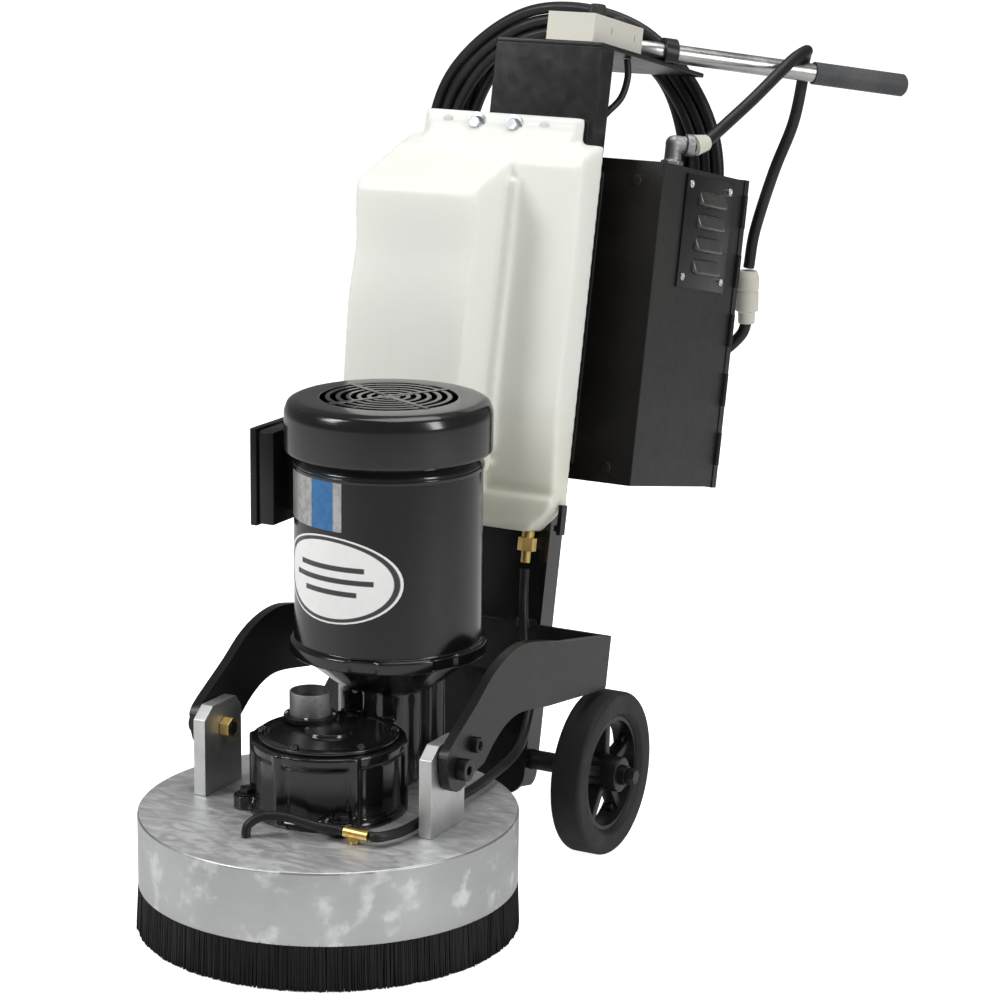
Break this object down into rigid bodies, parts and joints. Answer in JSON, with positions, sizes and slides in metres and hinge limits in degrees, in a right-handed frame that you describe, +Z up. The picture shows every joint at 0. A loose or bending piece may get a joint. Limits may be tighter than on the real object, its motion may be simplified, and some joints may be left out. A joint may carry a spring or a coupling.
{
  "type": "concrete grinder",
  "caption": "Walk-behind planetary floor grinder with skirted head, upright motor, leaning wheeled mast, water tank, drive cabinet and splayed handle.",
  "frame": {"origin": "centre of the machine's box on the floor, cords left out", "axes": "+Z up, grinding head towards -Y, operator at +Y, +X to the side with the louvre plate"},
  "size_m": [0.6791, 1.2375, 1.0453],
  "materials": {
    "aluminium": "brushed",
    "black_paint": "gloss",
    "black_textured": "textured",
    "bristle": "brush",
    "galvanised": "dull",
    "steel": "machined",
    "brass": "machined",
    "copper": "varnished windings",
    "rubber": "matt",
    "tyre": "matt",
    "tank_plastic": "translucent",
    "cream_plastic": "satin",
    "black_plastic": "satin",
    "cord": "satin"
  },
  "bodies": {
    "chassis": {"mast": "black_paint", "yoke": "black_paint", "pivot_bolt_left": "steel", "pivot_bolt_right": "steel", "pivot_nut_left": "brass", "pivot_nut_right": "brass", "axle": "steel", "water_tank": "tank_plastic", "tank_valve": "brass", "water_hose": "rubber", "cabinet": "black_textured", "drive_unit": "black_plastic", "louvre_plate": "black_textured", "shelf_plate": "black_paint", "handle_bar": "aluminium", "bar_clamp_left": "black_paint", "bar_clamp_right": "black_paint", "grip_left": "rubber", "grip_right": "rubber", "control_box": "cream_plastic", "control_cable": "cord", "cord_elbow": "galvanised", "supply_cord": "cord", "cord_plug": "cream_plastic", "cord_coil": "cord"},
    "head": {"head_drum": "aluminium", "brush_skirt": "bristle", "gearbox_case": "black_paint", "gearbox_cap": "black_paint", "vacuum_port": "galvanised", "pivot_post_left": "aluminium", "pivot_post_right": "aluminium", "motor_shell": "black_paint", "stator": "copper", "fan_cover": "black_paint", "junction_box": "black_paint", "water_tee": "brass", "spray_hose": "rubber", "sun_gear": "steel"},
    "rotor": {"rotor": "steel", "pinion": "steel"},
    "idler": {"idler_gear": "steel"},
    "output": {"output_gear": "steel", "output_shaft": "steel", "carrier_plate": "steel"},
    "satellite_1": {"satellite_spindle_1": "steel", "tool_plate_1": "steel"},
    "satellite_2": {"satellite_spindle_2": "steel", "tool_plate_2": "steel"},
    "satellite_3": {"satellite_spindle_3": "steel", "tool_plate_3": "steel"},
    "wheel_left": {"tyre_left": "tyre", "rim_left": "black_plastic"},
    "wheel_right": {"tyre_right": "tyre", "rim_right": "black_plastic"},
    "door": {"cabinet_door": "black_textured"},
    "latch": {"door_latch": "steel"},
    "knob": {"speed_knob": "black_plastic"},
    "button": {"start_button": "black_plastic"},
    "valve_lever": {"valve_lever": "black_paint"}
  },
  "joints": [
    {"name": "head_pivot", "type": "hinge", "parent": "chassis", "child": "head", "pos_m": [0, -0.39136, 0.218], "axis": [1, 0, 0], "range_deg": [-6, 9], "deforming": ["water_hose"]},
    {"name": "wheel_left_spin", "type": "hinge", "parent": "chassis", "child": "wheel_left", "pos_m": [-0.173, -0.01136, 0.104], "axis": [1, 0, 0], "continuous": true},
    {"name": "wheel_right_spin", "type": "hinge", "parent": "chassis", "child": "wheel_right", "pos_m": [0.173, -0.01136, 0.104], "axis": [1, 0, 0], "continuous": true},
    {"name": "carrier_spin", "type": "hinge", "parent": "head", "child": "output", "pos_m": [0, -0.39136, 0.1], "axis": [0, 0, 1], "continuous": true},
    {"name": "motor_spin", "type": "hinge", "parent": "head", "child": "rotor", "pos_m": [0, -0.25136, 0.4], "axis": [0, 0, 1], "continuous": true},
    {"name": "idler_spin", "type": "hinge", "parent": "head", "child": "idler", "pos_m": [0, -0.29736, 0.184], "axis": [0, 0, 1], "continuous": true},
    {"name": "satellite_1_spin", "type": "hinge", "parent": "output", "child": "satellite_1", "pos_m": [0, -0.27136, 0.06], "axis": [0, 0, 1], "continuous": true},
    {"name": "satellite_2_spin", "type": "hinge", "parent": "output", "child": "satellite_2", "pos_m": [-0.10392, -0.45136, 0.06], "axis": [0, 0, 1], "continuous": true},
    {"name": "satellite_3_spin", "type": "hinge", "parent": "output", "child": "satellite_3", "pos_m": [0.10392, -0.45136, 0.06], "axis": [0, 0, 1], "continuous": true},
    {"name": "door_hinge", "type": "hinge", "parent": "chassis", "child": "door", "pos_m": [0.1515, 0.40741, 0.59636], "axis": [0, -0.2028, -0.9792], "range_deg": [0, 55], "deforming": ["cord_coil"]},
    {"name": "door_latch_turn", "type": "hinge", "parent": "door", "child": "latch", "pos_m": [-0.128, 0.4169, 0.59439], "axis": [0, 0.9792, -0.2028], "range_deg": [0, 90]},
    {"name": "speed_knob_turn", "type": "hinge", "parent": "chassis", "child": "knob", "pos_m": [0.036, 0.21847, 1.03172], "axis": [0, 0.2028, 0.9792], "range_deg": [-135, 135]},
    {"name": "start_button_press", "type": "slide", "parent": "chassis", "child": "button", "axis": [0, -0.2028, -0.9792], "range_m": [0, 0.002], "stiffness_N_per_m": 300, "springref_m": -0.001},
    {"name": "valve_lever_turn", "type": "hinge", "parent": "chassis", "child": "valve_lever", "pos_m": [0.098, 0.00926, 0.40615], "axis": [-1, 0, 0], "range_deg": [0, 90]}
  ],
  "couplings": [
    {"joint": "motor_spin", "follows": "carrier_spin", "ratio": 3.1818},
    {"joint": "idler_spin", "follows": "carrier_spin", "ratio": -2.9167},
    {"joint": "satellite_1_spin", "follows": "carrier_spin", "ratio": 2},
    {"joint": "satellite_2_spin", "follows": "carrier_spin", "ratio": 2},
    {"joint": "satellite_3_spin", "follows": "carrier_spin", "ratio": 2}
  ]
}
